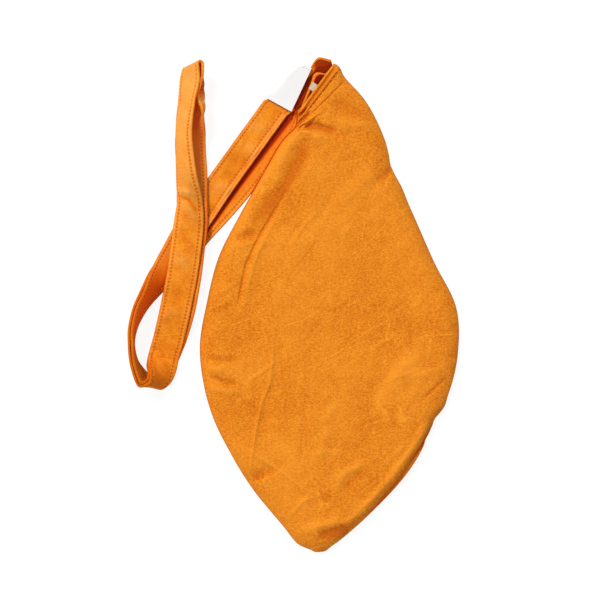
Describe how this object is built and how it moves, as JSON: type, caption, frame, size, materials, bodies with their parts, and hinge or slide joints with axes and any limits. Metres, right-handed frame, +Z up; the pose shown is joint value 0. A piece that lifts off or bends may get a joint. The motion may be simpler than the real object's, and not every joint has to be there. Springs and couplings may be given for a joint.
{
  "type": "mala bead bag",
  "caption": "Flat leaf-shaped cotton bead bag with a banded mouth, a blank woven label and a long stitched carrying strap folded beside it.",
  "frame": {"origin": "on the underside of the lying bag, near the middle of the leaf", "axes": "+Z up from the surface the bag lies on, +Y towards the mouth end, -Y towards the tip, +X to the side away from the folded strap"},
  "size_m": [0.2425, 0.3601, 0.0262],
  "materials": {
    "bag_cotton": "matt plain weave",
    "strap_cotton": "matt plain weave",
    "sewing_thread": "satin",
    "label_cloth": "satin"
  },
  "bodies": {
    "bag_body": {"front_panel": "bag_cotton", "back_panel": "bag_cotton", "back_mouth_band": "bag_cotton", "seam_binding": "sewing_thread", "strap_upper_end": "strap_cotton", "strap_lower_end": "strap_cotton", "back_rim_thread": "sewing_thread"},
    "mouth_lip": {"front_mouth_band": "bag_cotton", "front_rim_thread": "sewing_thread"},
    "strap_legs": {"strap_upper_leg": "strap_cotton", "strap_lower_leg": "strap_cotton", "upper_leg_outer_thread": "sewing_thread", "upper_leg_inner_thread": "sewing_thread", "lower_leg_outer_thread": "sewing_thread", "lower_leg_inner_thread": "sewing_thread"},
    "far_loop": {"strap_loop": "strap_cotton", "loop_outer_thread": "sewing_thread", "loop_inner_thread": "sewing_thread"},
    "label_flap": {"woven_label": "label_cloth", "label_thread": "sewing_thread"},
    "tag_flap": {"care_tag": "label_cloth"}
  },
  "joints": [
    {"name": "strap_lift", "type": "hinge", "parent": "bag_body", "child": "strap_legs", "pos_m": [-0.03905, 0.16123, 0.00425], "axis": [-0.8192, 0.5736, 0], "range_deg": [0, 105]},
    {"name": "loop_lift", "type": "hinge", "parent": "strap_legs", "child": "far_loop", "pos_m": [-0.12164, -0.02029, 0.00425], "axis": [0.9744, -0.225, 0], "range_deg": [0, 90]},
    {"name": "lip_lift", "type": "hinge", "parent": "bag_body", "child": "mouth_lip", "pos_m": [0.00006, 0.16789, 0.0111], "axis": [0.5896, 0.8077, 0], "range_deg": [0, 30]},
    {"name": "label_lift", "type": "hinge", "parent": "bag_body", "child": "label_flap", "pos_m": [-0.0134, 0.1909, 0.00505], "axis": [-0.9185, 0.3955, 0], "range_deg": [0, 110]},
    {"name": "tag_lift", "type": "hinge", "parent": "bag_body", "child": "tag_flap", "pos_m": [-0.00373, 0.17066, 0.00305], "axis": [0.5896, 0.8077, 0], "range_deg": [0, 25]}
  ]
}
